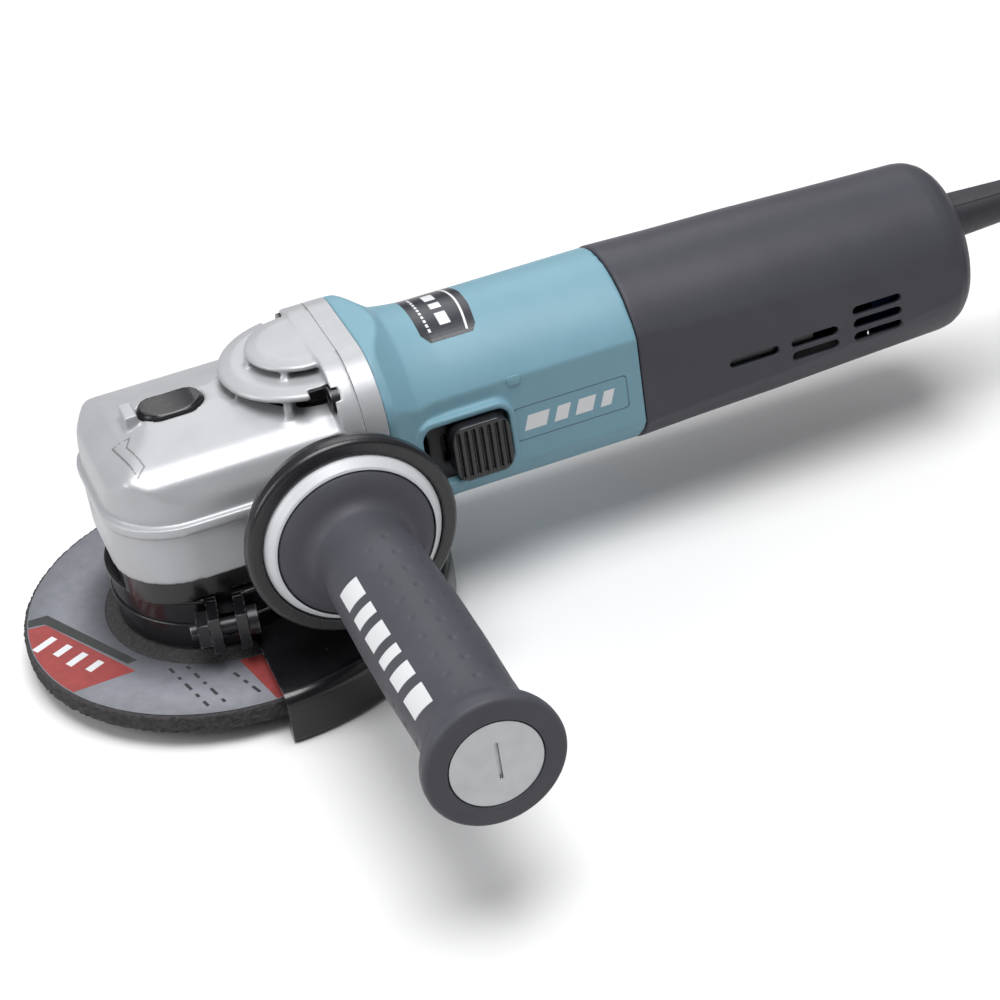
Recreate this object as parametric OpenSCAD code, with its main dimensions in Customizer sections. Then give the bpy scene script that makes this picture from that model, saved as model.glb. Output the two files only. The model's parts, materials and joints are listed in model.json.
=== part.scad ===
// Angle grinder with a 125 mm depressed-centre wheel, side handle and mains lead.
// Millimetres. Origin: spindle axis at the wheel's lower face. +X to the rear, +Y to the
// tool's right-hand side, +Z up. The motor axis runs along X at height motor_z.

/* [Wheel] */
// Outside diameter of the grinding wheel
wheel_d = 125; // [100:1:150]
// Thickness of the wheel's working ring
wheel_t = 6; // [3:0.5:8]
// Rise of the depressed centre over the working ring
hub_rise = 4.5; // [3:0.5:6]
// Mounting bore of the wheel
wheel_bore_d = 22.23; // [20:0.01:25.4]
// Thread diameter of the spindle
spindle_thread_d = 14; // [10:1:16]

/* [Guard] */
// Outside radius of the guard's skirt
guard_r = 69.5; // [66:0.5:75]
// Height of the guard's top plate
guard_top_z = 11.5; // [10.8:0.1:14]
// Depth of the guard's lip below the wheel's lower face
guard_lip_z = -5.5; // [-10:0.5:0]
// Sheet thickness of the guard
guard_t = 1.8; // [1:0.1:3]
// Angle that the guard's skirt covers
guard_angle = 182; // [150:1:220]
// Direction of the guard's clamp ears around the spindle
guard_ear_angle = -101; // [-180:1:180]

/* [Gearbox] */
// Height of the motor axis over the wheel's lower face
motor_z = 50; // [45:1:60]
// Half width of the gear housing
gear_half_w = 34; // [30:0.5:38]
// Front end of the gear housing's nose
nose_x = -32.5; // [-40:0.5:-30]
// Height of the gear housing's lower face
gear_bottom_z = 35; // [33:0.5:38]
// Height of the gear housing's flat top
gear_top_z = 71.5; // [68:0.5:76]
// Teeth on the spindle gear
gear_teeth = 37; // [30:1:45]
// Teeth on the motor pinion
pinion_teeth = 11; // [8:1:15]
// Pitch radius of the spindle gear at its outer edge
gear_pitch_r = 21; // [18:0.5:22]

/* [Body] */
// Front face of the gear housing's flange
flange_x = 38; // [34:0.5:42]
// Half width of the square flange
flange_half_w = 33.5; // [30:0.5:36]
// Corner radius of the square flange
flange_corner_r = 20; // [10:1:25]
// Radius of the motor housing's round barrel
barrel_r = 30.3; // [27:0.1:34]
// Seam between the motor housing and the rear cover
seam_x = 132; // [125:1:140]
// Rear end of the rear cover
rear_x = 247; // [235:1:260]
// Radius of the rear cover at its rear end
rear_r = 27.3; // [25:0.1:30]
// Half width across the flat sides of the motor housing and rear cover
flat_half_w = 26.6; // [24:0.1:29]
// Wall thickness of the plastic housings
wall = 2; // [1.6:0.1:3]

/* [Side handle] */
// Position of the handle's axis behind the spindle
handle_x = 29.3; // [20:0.1:40]
// Largest radius of the handle's rim
handle_rim_r = 31.2; // [25:0.1:35]
// Radius of the handle's grip
grip_r = 14.8; // [12:0.1:18]
// Distance of the handle's end from the motor axis
handle_end_y = 174; // [150:1:190]
// Diameter of the handle's threaded stud
stud_d = 8; // [8:2:14]

/* [Controls] */
// Travel of the spindle lock button
lock_travel = 4; // [3:0.5:6]
// Travel of the slide switch
switch_travel = 7; // [4:0.5:10]
// Half length of the oval spindle lock button
button_r = 9.9; // [8:0.1:12]
// Width of the oval spindle lock button
button_w = 12.8; // [10:0.1:16]

/* [Mains lead] */
// Diameter of the rubber lead
cord_d = 7.5; // [6:0.1:9]
// Height of the lead where it leaves the rear cover
cord_exit_z = 57; // [50:1:60]
// Radius at the middle of the coil's turns
coil_r = 45; // [37:0.5:45]
// Length of the tapered cord guard outside the cover
cord_guard_len = 43; // [20:1:60]

/* [Hidden] */
$fn = 96;

wheel_r = wheel_d / 2;
thread_r = spindle_thread_d / 2;
fit_gap = 0.05;
floor_z = guard_lip_z;
cord_r = cord_d / 2;

gear_pitch_z = motor_z - gear_pitch_r * pinion_teeth / gear_teeth;
pinion_pitch_r = motor_z - gear_pitch_z;
cone_dist = sqrt(gear_pitch_r * gear_pitch_r + pinion_pitch_r * pinion_pitch_r);
pinion_cone = atan(pinion_teeth / gear_teeth);
tooth_add = 0.8;
tooth_ded = 1.15;
tooth_face_w = 6.3;
add_angle = atan(tooth_add / cone_dist);
ded_angle = atan(tooth_ded / cone_dist);
tooth_in = gear_pitch_r + 0.3 - tooth_face_w;
tooth_out = gear_pitch_r + 0.3;

switch_x = 78.3;
rod_end_x = 189.8;
switch_z = 47.75;
lock_pin_x = -11;
lock_pin_r = 2;
button_x = -4.2;
button_top_z = 75.6;
crown_z = 74.4;
nose_r = 22;
dome_x = 37;
crown_side = [[gear_half_w, motor_z], [gear_half_w, 58], [30, 66.6], [24.5, 69.8], [18, 71.6],
    [11, 73.2], [5, 74.2]];
well_floor_z = 61;
coil_x = 388;
coil_lift = 1.5;
coil_lanes = 5;
coil_in_r = coil_r - 2 * cord_d;
coil_y = -(coil_r + 2 * cord_d);
plug_x = coil_x + coil_r + 2 * cord_d;
plug_y = -178;
plug_z = floor_z + 13.5;
brush_x = 141;
fan_x = 54.4;
fan_r = 24.4;
rod_y = flat_half_w - wall - 0.25;
rod_t = 0.9;

// The lead's route, from the switch to the coil and from the coil to the plug.
lead_route = [
    [216, 0, 57], [234, 0, 57], [252, 0, 57], [270, 0, 57], [284, 0, 57], [290, 0, 57],
    [296, 0, 56.9], [303, 0, 56], [311, 0, 53.6], [319, 0, 49.4], [327, 0, 43],
    [334.5, 0, 34.6], [341, 0, 25], [347.5, 0, 15.8], [354.5, 0, 8.2], [362.5, 0, 2.8],
    [371, 0, 0.2], [379.5, 0, -0.25], [388, 0, -0.25]
];
tail_route = [
    [448, -60, 7.25], [448, -70, 7.25], [448, -82, 7.25], [448, -92, 7.1], [448, -101, 6.1],
    [448, -110, 3.7], [448, -119, 0.9], [448, -128, -0.9], [448, -137, -0.7],
    [448, -146, 1.6], [448, -155, 5], [448, -164, 7.4], [448, -173, 8], [448, -176, 8]
];

// ---------- helpers ----------

// Local +Z becomes +X along the motor axis, local X points down.
module along_motor(x) {
    translate([x, 0, motor_z]) rotate([0, 90, 0]) children();
}

// Local +Z becomes -Y along the side handle's axis.
module along_handle(y = 0) {
    translate([handle_x, -y, motor_z]) rotate([90, 0, 0]) children();
}

module ring(r_out, r_in, h) {
    difference() {
        cylinder(r = r_out, h = h);
        translate([0, 0, -1]) cylinder(r = r_in, h = h + 2);
    }
}

// A square of half width w whose corners are round with radius r.
module round_square(w, r) {
    square([2 * w, 2 * (w - r)], center = true);
    square([2 * (w - r), 2 * w], center = true);
    for (sx = [-1, 1], sy = [-1, 1]) translate([sx * (w - r), sy * (w - r)]) circle(r = r);
}

// A slot's outline, a long and b wide.
module oval(a, b) {
    square([a - b, b], center = true);
    for (s = [-1, 1]) translate([s * (a - b) / 2, 0]) circle(r = b / 2);
}

// A rectangle a by b with corner radius r, centred.
module round_rect(a, b, r) {
    square([a, b - 2 * r], center = true);
    square([a - 2 * r, b], center = true);
    for (sx = [-1, 1], sy = [-1, 1]) translate([sx * (a / 2 - r), sy * (b / 2 - r)]) circle(r = r);
}

// A pan-head screw along +Z: head above z = 0, shank below, with a square driver recess.
module screw(head_r, head_h, shank_r, shank_l) {
    difference() {
        cylinder(r = head_r, h = head_h);
        translate([0, 0, head_h - head_h / 2]) cylinder(r = head_r * 0.5, h = head_h, $fn = 4);
    }
    translate([0, 0, -shank_l]) cylinder(r = shank_r, h = shank_l + 0.01);
}

// The unit vector between two points.
function unit(v) = v / norm(v);

// Ring k of a round tube of radius r along the points p.
function tube_ring(p, k, r, sides) =
    let (
        last = len(p) - 1,
        dir = unit(p[min(k + 1, last)] - p[max(k - 1, 0)]),
        side = unit(cross(dir, abs(dir[1]) > 0.9 ? [1, 0, 0] : [0, 1, 0])),
        up = cross(side, dir)
    )
    [for (i = [0 : sides - 1]) p[k] + r * (cos(360 * i / sides) * side + sin(360 * i / sides) * up)];

// A closed tube swept along the points p.
module tube(p, r, sides = 10) {
    n = len(p);
    rings = [for (k = [0 : n - 1]) each tube_ring(p, k, r, sides)];
    walls = [for (k = [0 : n - 2], i = [0 : sides - 1])
        let (j = (i + 1) % sides)
        [k * sides + i, k * sides + j, (k + 1) * sides + j, (k + 1) * sides + i]];
    start_cap = [[for (i = [sides - 1 : -1 : 0]) i]];
    end_cap = [[for (i = [0 : sides - 1]) (n - 1) * sides + i]];
    polyhedron(points = rings, faces = concat(walls, start_cap, end_cap));
}

// Points of a helix of radius r and height h around +Z.
function helix(r, h, turns, per_turn = 12) =
    [for (i = [0 : turns * per_turn])
        [r * cos(360 * i / per_turn), r * sin(360 * i / per_turn), h * i / (turns * per_turn)]];

// ---------- gearbox ----------

module nose_plan(w, x_front, r) {
    intersection() {
        translate([x_front, -w]) square([flange_x - x_front + 1, 2 * w]);
        union() {
            translate([x_front + w, 0]) round_square(w, r);
            translate([x_front + w, -w]) square([flange_x - x_front - w + 1, 2 * w]);
        }
    }
}

// The gear housing's solid outside, before it is hollowed.
module gear_housing_outside() {
    translate([0, 0, gear_bottom_z]) linear_extrude(motor_z + 2 - gear_bottom_z)
        nose_plan(gear_half_w, nose_x, nose_r);
    translate([0, 0, motor_z + 1.5]) linear_extrude(3)
        nose_plan(gear_half_w + 1.4, nose_x - 0.8, nose_r + 1);
    // Upper shell with a sloping front and sloping sides
    intersection() {
        translate([0, 0, motor_z]) linear_extrude(crown_z - motor_z + 1)
            nose_plan(gear_half_w - 1, nose_x + 0.8, nose_r - 0.5);
        translate([0, 60, 0]) rotate([90, 0, 0]) linear_extrude(120) polygon([
            [nose_x, motor_z], [nose_x + 0.6, 60], [nose_x + 2, 64.6], [-26.6, 68], [-22, 71],
            [-18, gear_top_z + 0.6], [-12, crown_z], [8, crown_z], [14, crown_z - 1], [flange_x, crown_z - 1],
            [flange_x, motor_z]
        ]);
        translate([nose_x, 0, 0]) rotate([90, 0, 90]) linear_extrude(80) polygon([
            for (s = [-1, 1], p = s < 0 ? crown_side : [for (i = [6 : -1 : 0]) crown_side[i]])
                [s * p[0], p[1]]
        ]);
    }
    // Louvred dome in front of the flange: a core, two lipped roofs and the struts between them
    dome_tier([[0, 66], [18, 66], [18, 77], [0, 77]]);
    dome_tier([[0, 76], [24.4, 76], [25.2, 76.4], [25.4, 77.2], [24.6, 78.1], [21, 78.9], [0, 78.9]]);
    dome_tier([[0, 78], [10.5, 78], [10.5, 81.5], [0, 81.5]]);
    dome_tier([[0, 80.9], [15.6, 80.9], [16.3, 81.3], [16.5, 82], [15.8, 82.7], [12.5, 83.3],
        [0, 83.5]]);
    for (a = [-62, -20, 20, 62]) dome_strut(a, 1.3, [[16, 69], [26.2, 69], [25, 73.5], [23.6, 77], [16, 77]]);
    for (a = [-56, 0, 56]) dome_strut(a, 1.1, [[9, 78], [18.2, 78], [15, 82], [9, 82]]);
    // Crest in front of the lock button
    translate([-18.6, -4.5, gear_top_z - 3]) cube([4, 9, 8]);
    // Bosses for the side handle
    for (s = [-1, 1]) translate([handle_x, s * (gear_half_w - 4), motor_z]) rotate([s * -90, 0, 0])
        cylinder(r = 9.5, h = 9.5);
    along_motor(flange_x) linear_extrude(6.5) round_square(flange_half_w, flange_corner_r);
}

// A turned tier of the dome, cut off at the flange.
module dome_tier(profile) {
    intersection() {
        translate([dome_x, 0, 0]) rotate_extrude() polygon(profile);
        translate([0, -40, 60]) cube([flange_x + 1, 80, 30]);
    }
}

module dome_strut(angle, half_t, profile) {
    translate([dome_x, 0, 0]) rotate(180 + angle) rotate([90, 0, 0]) translate([0, 0, -half_t])
        linear_extrude(2 * half_t) polygon(profile);
}

module gear_housing() {
    color("Silver") difference() {
        gear_housing_outside();
        // Gear chamber, pinion tunnel and bearing recess
        translate([0, 0, gear_bottom_z - 1]) ring_chamber();
        along_motor(9) cylinder(r = 9, h = 35);
        along_motor(39.2) cylinder(r = 18.7, h = 6);
        // Exhaust chamber behind the louvres
        along_motor(flange_x + 1.5) difference() {
            cylinder(r = 30, h = 6);
            translate([0, 0, -1]) cylinder(r = 21, h = 8);
            translate([-8, -32, -1]) cube([30, 64, 9]);
        }
        // Ways out of the chamber through the dome's core
        for (s = [-1, 0, 1]) translate([12, s * 10.5 - 3.2, 73.4]) cube([30, 6.4, 2.6]);
        for (s = [-1, 1]) translate([20, s * 5 - 3, 78.9]) cube([20, 6, 2]);
        // Lock button's well and pin bore
        translate([button_x, 0, well_floor_z]) linear_extrude(20)
            oval(2 * button_r + 0.6, button_w + 0.6);
        translate([lock_pin_x, 0, 40]) cylinder(r = lock_pin_r + fit_gap, h = 30);
        // Seat of the spindle's top bearing
        translate([0, 0, 51]) cylinder(r = 6.5, h = 8.5);
        // Handle sockets: the left one takes the stud, the right one is free
        translate([handle_x, -12, motor_z]) rotate([90, 0, 0]) cylinder(r = stud_d / 2 + fit_gap, h = 40);
        translate([handle_x, 20.5, motor_z]) rotate([-90, 0, 0]) cylinder(r = stud_d / 2, h = 40);
        // Blind holes for the flange and bearing box screws
        for (p = flange_holes) along_motor(flange_x - 1) translate([p[0], p[1], 0])
            cylinder(r = 2.1, h = 10);
        for (p = flange_holes) along_motor(flange_x - 6) translate([p[0], p[1], 0])
            cylinder(r = 4.4, h = 8);
        for (p = box_holes) translate([p[0], p[1], gear_bottom_z - 1]) cylinder(r = 2, h = 12);
    }
}

// The gear chamber, with the top bearing's boss left standing.
module ring_chamber() {
    difference() {
        cylinder(r = 23.5, h = 22);
        translate([0, 0, 51 - gear_bottom_z + 1]) cylinder(r = 8, h = 10);
    }
}

flange_holes = [for (s = [-1, 1], t = [-1, 1]) [s * 24.6, t * 24.6]];
box_holes = [for (s = [-1, 1], t = [-1, 1]) [s * 20.5, t * 20.5]];

module gear_housing_screws() {
    color("DimGray") for (p = flange_holes) translate([flange_x + 2, p[1], motor_z - p[0]])
        rotate([0, -90, 0]) screw(4, 2.8, 2, 15);
}

module bearing_plate() {
    color("Silver") difference() {
        union() {
            along_motor(flange_x + 6.5) linear_extrude(6.5) round_square(flange_half_w, flange_corner_r);
            along_motor(39.7) cylinder(r = 18.5, h = 6);
        }
        along_motor(41.5) cylinder(r = 15, h = 20);
        along_motor(30) cylinder(r = 8, h = 20);
        for (p = flange_holes) along_motor(30) translate([p[0], p[1], 0]) cylinder(r = 2.1, h = 30);
        // Air passages from the fan to the louvres
        for (a = [140 : 20 : 220]) along_motor(40) rotate(a) translate([25.5, 0, 0])
            linear_extrude(20) round_rect(7, 5, 2.4);
    }
}

// A ball bearing with its shield: rings joined by a recessed web.
module ball_bearing(r_out, r_in, w) {
    difference() {
        ring(r_out, r_in, w);
        for (z = [-1, w - 0.8]) translate([0, 0, z])
            ring(r_out * 0.86, r_in + (r_out - r_in) * 0.26, 1.8);
    }
}

module front_bearing() {
    color("LightSteelBlue") along_motor(41.5) ball_bearing(15, 5 + fit_gap, 9);
}

module bearing_clamp() {
    color("Gainsboro") along_motor(flange_x + 13) difference() {
        cylinder(r = 19, h = 1.2);
        translate([0, 0, -1]) cylinder(r = 10.5, h = 4);
        for (a = [45 : 90 : 315]) rotate(a) translate([16.8, 0, -1]) cylinder(r = 1.6, h = 4);
    }
}

// ---------- motor and rear housings ----------

module barrel_outside() {
    along_motor(0) rotate_extrude() polygon([
        [0, flange_x + 13], [38.6, flange_x + 13], [38.2, 54], [34.8, 58], [31.7, 62], [30.9, 67],
        [barrel_r, 73], [barrel_r, seam_x], [0, seam_x]
    ]);
}

// The barrel's plan: the flange's width drawn in to the flat sides.
module barrel_plan(shrink) {
    front = flange_x + 13;
    side = [[front, flange_half_w], [54, flange_half_w - 0.2], [58, 30.6], [62, 28.3], [67, 27.1],
        [73, flat_half_w], [seam_x, flat_half_w]];
    polygon(concat(
        [for (p = side) [p[0], p[1] - shrink]],
        [for (i = [len(side) - 1 : -1 : 0]) [side[i][0], shrink - side[i][1]]]
    ));
}

module motor_housing() {
    color([0.53, 0.70, 0.75]) difference() {
        union() {
            intersection() {
                barrel_outside();
                along_motor(flange_x + 13) linear_extrude(100) round_square(flange_half_w, flange_corner_r);
                linear_extrude(100) barrel_plan(0);
            }
            along_motor(seam_x - 4) cylinder(r = 23, h = 42);
            // Low frame around the switch's recess
            translate([75, -22, switch_z]) rotate([90, 0, 0]) linear_extrude(7.8) round_rect(31, 24, 6);
        }
        // Fan and stator bay
        intersection() {
            along_motor(flange_x + 12) ring_bore(barrel_r - wall, 79);
            linear_extrude(100) barrel_plan(wall);
        }
        along_motor(flange_x + 12) cylinder(r = 20, h = 4);
        along_motor(seam_x - 5) cylinder(r = 20.6, h = 32);
        // Rear bearing seat
        along_motor(158) cylinder(r = 13, h = 20);
        along_motor(150) cylinder(r = 7, h = 20);
        // Switch recess, its slot and the rod's channel
        translate([75, -26.4, switch_z]) rotate([90, 0, 0]) linear_extrude(6) round_rect(27, 20, 4);
        translate([68, -32, switch_z - 4.75]) cube([18, 9, 9.5]);
        translate([62, -rod_y - 0.25, switch_z - 5]) cube([72, 1.6, 10]);
        // Windows for the brush holders
        for (s = [-1, 1]) translate([brush_x - 6.5, -5.5, motor_z + s * 22 - 5]) cube([13, 11, 10]);
        // Air holes beside the commutator
        for (a = [30 : 60 : 330]) along_motor(152) rotate(a) translate([21.8, 0, 0])
            rotate([0, 90, 0]) cylinder(r = 2.5, h = 6, center = true);
        // Threads of the four screws that hold the gear housing
        for (p = flange_holes) translate([flange_x + 10, p[1], motor_z - p[0]]) rotate([0, 90, 0])
            cylinder(r = 2 + fit_gap, h = 7.3);
        // Room for the stator screws' heads
        for (s = [-1, 1]) along_motor(seam_x - 14) translate([s * 23.6, 0, 0]) cylinder(r = 3.3, h = 8);
    }
}

// The straight bore of the fan and stator bay, with four ribs left along it.
module ring_bore(r, len) {
    difference() {
        cylinder(r = r, h = len);
        for (a = [45 : 90 : 315]) rotate(a) translate([26.1, -2, 22]) cube([3, 4, len]);
    }
}

module cover_profile(shrink) {
    polygon(concat(
        [[0, seam_x + 0.2], [30.6 - shrink, seam_x + 0.2], [29.9 - shrink, 152], [29.3 - shrink, 179],
         [28.3 - shrink, 206], [rear_r - shrink, rear_x - 10 - shrink / 2]],
        [for (a = [18 : 18 : 90])
            [rear_r - 10 - shrink + 10 * cos(a), rear_x - 10 - shrink + 10 * sin(a)]],
        [[0, rear_x - shrink]]
    ));
}

module cover_solid(shrink) {
    intersection() {
        along_motor(0) rotate_extrude() cover_profile(shrink);
        translate([100, -flat_half_w + shrink, 0]) cube([200, 2 * (flat_half_w - shrink), 100]);
    }
}

module rear_cover() {
    color([0.16, 0.17, 0.19]) difference() {
        union() {
            cover_solid(0);
            // Boss around the lead's exit
            translate([rear_x - 12, 0, cord_exit_z]) rotate([0, 90, 0]) cylinder(r = 10, h = 12);
        }
        cover_solid(wall);
        along_motor(seam_x) cylinder(r = 23.2, h = 5);
        translate([seam_x, -rod_y - 0.2, switch_z - 4]) cube([5, 2, 8]);
        translate([rear_x - 20, 0, cord_exit_z]) rotate([0, 90, 0]) cylinder(r = 6.3, h = 30);
        // Six air slots in each side
        for (s = [-1, 1], v = side_vents) translate([v[0], s * flat_half_w, v[2]]) rotate([90, 0, 0])
            linear_extrude(10, center = true) translate([v[1] / 2, 0]) round_rect(v[1], 3, 1.45);
        // Hole of the cover's screw, in the underside
        translate([224, 0, motor_z - 40]) cylinder(r = 2.1, h = 20);
        translate([224, 0, motor_z - 40]) cylinder(r = 4.2, h = 15.5);
    }
}

// Start, length and height of each air slot.
side_vents = [
    [202.8, 16.5, 50.5], [202.8, 16.5, 45.9], [202.8, 16.5, 41.3],
    [181.7, 15.8, 45.9], [181.7, 15.8, 41.3], [161, 16.5, 45.5]
];

module rear_cover_screw() {
    color("DimGray") translate([224, 0, motor_z - 24.5]) rotate([180, 0, 0]) screw(3.8, 2.6, 2, 14);
}

module bearing_box() {
    color([0.12, 0.12, 0.13]) difference() {
        union() {
            translate([0, 0, 27]) linear_extrude(gear_bottom_z - 27.1) round_square(31, 17);
            translate([0, 0, 18]) cylinder(r = 30, h = 10);
        }
        translate([0, 0, 21.5]) cylinder(r = 16, h = 20);
        translate([0, 0, 10]) cylinder(r = 11, h = 20);
        translate([0, 0, 31.5]) cylinder(r = 20.2, h = 10);
        for (p = box_holes) translate([p[0], p[1], 0]) {
            cylinder(r = 2.05, h = 60);
            cylinder(r = 4.2, h = 29);
        }
        // Key slots for the guard's clamp band
        for (a = [0 : 90 : 270]) rotate(a) translate([28.6, -2, 17]) cube([3, 4, 4]);
    }
}

module bearing_box_screws() {
    color("DimGray") for (p = box_holes) translate([p[0], p[1], 29]) rotate([180, 0, 0])
        screw(3.9, 2.6, 1.95, 14);
}

module spindle_bearing() {
    color("LightSteelBlue") translate([0, 0, 21.5]) ball_bearing(16, 6 + fit_gap, 10);
}

module spindle_bearing_clamp() {
    color("Gainsboro") translate([0, 0, 31.6]) difference() {
        cylinder(r = 20, h = 1.6);
        translate([0, 0, -1]) cylinder(r = 12, h = 4);
        for (a = [0 : 90 : 270]) rotate(a) translate([17.8, 0, -1]) cylinder(r = 1.4, h = 4);
    }
}

module spindle_seal() {
    color("Wheat") translate([0, 0, 18.4]) ring(10.95, 8.65, 2.6);
}

module spindle_top_bearing() {
    color("LightSteelBlue") translate([0, 0, 51]) ring(6.5, 4 + fit_gap, 8);
}

// ---------- spindle and wheel ----------

module spindle() {
    color("Gainsboro") difference() {
        rotate_extrude() polygon(concat(
            [[0, 0], [thread_r - 1, 0], [thread_r, 1]],
            [for (i = [0 : 6]) each [[thread_r, 2 + i * 2], [thread_r - 0.7, 2.5 + i * 2],
                [thread_r - 0.7, 3 + i * 2], [thread_r, 3.5 + i * 2]]],
            [[thread_r, 17], [8.5, 17], [8.5, 21.4], [6, 21.4], [6, 43.2], [5, 43.2], [5, 45.4],
             [4, 45.8], [4, 58], [3.4, 58.8], [0, 58.8]]
        ));
        // Groove of the circlip
        translate([0, 0, 43.6]) ring(6, 4.4, 1);
    }
}

// Half angle of one gear tooth, 1 mm thick at the pitch radius.
tooth_half_angle = asin(0.5 / gear_pitch_r);

module spindle_gear() {
    root_slope = 1 / tan(90 - pinion_cone - ded_angle);
    face_slope = 1 / tan(90 - pinion_cone + add_angle);
    color("DarkGray") {
        difference() {
            rotate_extrude() polygon([
                [6.01, 35.6], [17, 35.6], [tooth_out, 39], [tooth_out, motor_z - root_slope * tooth_out],
                [tooth_in, motor_z - root_slope * tooth_in], [tooth_in - 0.6, 43], [6.01, 43]
            ]);
            // Twelve holes for the lock pin
            for (a = [0 : 30 : 330]) rotate(a) translate([-lock_pin_x, 0, 30])
                cylinder(r = lock_pin_r + 0.35, h = 20);
        }
        intersection() {
            rotate_extrude() polygon([
                [tooth_in, motor_z - root_slope * tooth_in - 0.5],
                [tooth_out, motor_z - root_slope * tooth_out - 0.5],
                [tooth_out, motor_z - face_slope * tooth_out],
                [tooth_in, motor_z - face_slope * tooth_in]
            ]);
            translate([0, 0, 40]) linear_extrude(10) for (i = [0 : gear_teeth - 1])
                rotate((i + 0.5) * 360 / gear_teeth) polygon([
                    [10, -10 * tan(tooth_half_angle)], [25, -25 * tan(tooth_half_angle)],
                    [25, 25 * tan(tooth_half_angle)], [10, 10 * tan(tooth_half_angle)]
                ]);
        }
    }
}

module spindle_circlip() {
    color("DimGray") translate([0, 0, 43.7]) difference() {
        ring(7.2, 4.5, 0.8);
        translate([2, -1.6, -1]) cube([8, 3.2, 4]);
    }
}

module inner_flange() {
    color("Gray") translate([0, 0, hub_rise + wheel_t]) difference() {
        union() {
            cylinder(r = 19.5, h = 6.5);
            translate([0, 0, -3]) cylinder(r = wheel_bore_d / 2 - 0.1, h = 4);
        }
        translate([0, 0, -5]) cylinder(r = thread_r + fit_gap, h = 20);
        // Turned groove around the flange's outside
        translate([0, 0, 3]) ring(22, 18.4, 1.5);
    }
}

module grinding_wheel() {
    color([0.30, 0.28, 0.29]) rotate_extrude() polygon([
        [wheel_bore_d / 2, hub_rise], [25.5, hub_rise], [28, hub_rise - 0.6], [36, 0.6], [38.5, 0],
        [wheel_r - 0.5, 0], [wheel_r, 0.5], [wheel_r, wheel_t - 0.5], [wheel_r - 0.5, wheel_t],
        [37.2, wheel_t], [34.8, wheel_t + 0.6], [26.6, wheel_t + hub_rise - 0.6],
        [24, wheel_t + hub_rise], [wheel_bore_d / 2, wheel_t + hub_rise]
    ]);
}

module lock_nut() {
    color("Gray") difference() {
        union() {
            translate([0, 0, 0.5]) cylinder(r = 20, h = hub_rise - 0.5);
            translate([0, 0, hub_rise - 0.5]) cylinder(r = wheel_bore_d / 2 - 0.1, h = 3);
        }
        translate([0, 0, -5]) cylinder(r = thread_r + fit_gap, h = 20);
        // Four pin holes for the spanner, 30 mm apart across the nut
        for (a = [0 : 90 : 270]) rotate(a) translate([15, 0, -1]) cylinder(r = 2.5, h = 4);
    }
}

// ---------- guard ----------

module guard_collar() {
    color([0.10, 0.10, 0.11]) difference() {
        union() {
            translate([0, 0, guard_top_z - 3]) ring(32.8, 30.1, 17.8);
            rotate(guard_ear_angle) for (s = [-1, 1])
                translate([31.5, s * 4 - 1.6, guard_top_z + 1.5]) cube([11, 3.2, 12]);
        }
        rotate(guard_ear_angle) translate([28, -2.4, guard_top_z + 0.5]) cube([16, 4.8, 20]);
        rotate(guard_ear_angle) translate([37.5, -10, guard_top_z + 7.5]) rotate([-90, 0, 0])
            cylinder(r = 2.6, h = 20);
    }
}

// Half-round plate with its skirt, curled lip and two pressed stiffening beads.
module wheel_guard() {
    color([0.10, 0.10, 0.11]) {
        rotate(-guard_angle / 2) rotate_extrude(angle = guard_angle) {
            translate([32.85, guard_top_z - guard_t]) square([guard_r - 36.85, guard_t]);
            translate([guard_r - guard_t, guard_lip_z + 2.4])
                square([guard_t, guard_top_z - 4 - guard_lip_z - 2.4]);
            translate([guard_r - 4, guard_top_z - 4]) difference() {
                intersection() {
                    circle(r = 4);
                    square(4);
                }
                circle(r = 4 - guard_t);
            }
            translate([guard_r - 2.4, guard_lip_z + 2.4]) circle(r = 2.4);
        }
        for (a = [-45, 45]) rotate(a - 12) rotate_extrude(angle = 24)
            translate([50, guard_top_z - 0.2]) intersection() {
                circle(r = 1.6);
                translate([-2, 0]) square([4, 2]);
            }
    }
}

module guard_clamp_screw() {
    color("Silver") rotate(guard_ear_angle) translate([37.5, 5.7, guard_top_z + 7.5])
        rotate([-90, 0, 0]) screw(4.4, 3, 2.5, 17);
}

module guard_clamp_nut() {
    color("Silver") rotate(guard_ear_angle) translate([37.5, -5.7, guard_top_z + 7.5])
        rotate([90, 0, 0]) difference() {
            rotate(45) cylinder(r = 5.4, h = 3.6, $fn = 4);
            translate([0, 0, -1]) cylinder(r = 2.5 + fit_gap, h = 6);
        }
}

// ---------- spindle lock ----------

module lock_button() {
    color([0.10, 0.10, 0.11]) translate([button_x, 0, 0]) difference() {
        union() {
            translate([0, 0, 66]) linear_extrude(button_top_z - 67)
                oval(2 * button_r, button_w);
            translate([0, 0, button_top_z - 1.01]) linear_extrude(1.01)
                oval(2 * button_r - 1.2, button_w - 1.2);
        }
        // Finger dish along the top
        translate([0, 20, button_top_z + 39.4]) rotate([90, 0, 0]) cylinder(r = 40, h = 40);
        translate([lock_pin_x - button_x, 0, 60]) cylinder(r = lock_pin_r, h = 12);
    }
}

module lock_pin() {
    color("Gainsboro") translate([lock_pin_x, 0, 45]) cylinder(r = lock_pin_r, h = 27);
}

module lock_spring() {
    color("Silver") translate([lock_pin_x, 0, well_floor_z + 0.4])
        tube(helix(3, 4.2, 4, 10), 0.35, 6);
}

// ---------- side handle ----------

module handle_stud() {
    color("Silver") along_handle(13.5) union() {
        cylinder(r = stud_d / 2, h = 62);
        translate([0, 0, 34]) rotate_extrude() polygon([[0, 0], [6, 0], [6, 3], [0, 3]]);
    }
}

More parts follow.
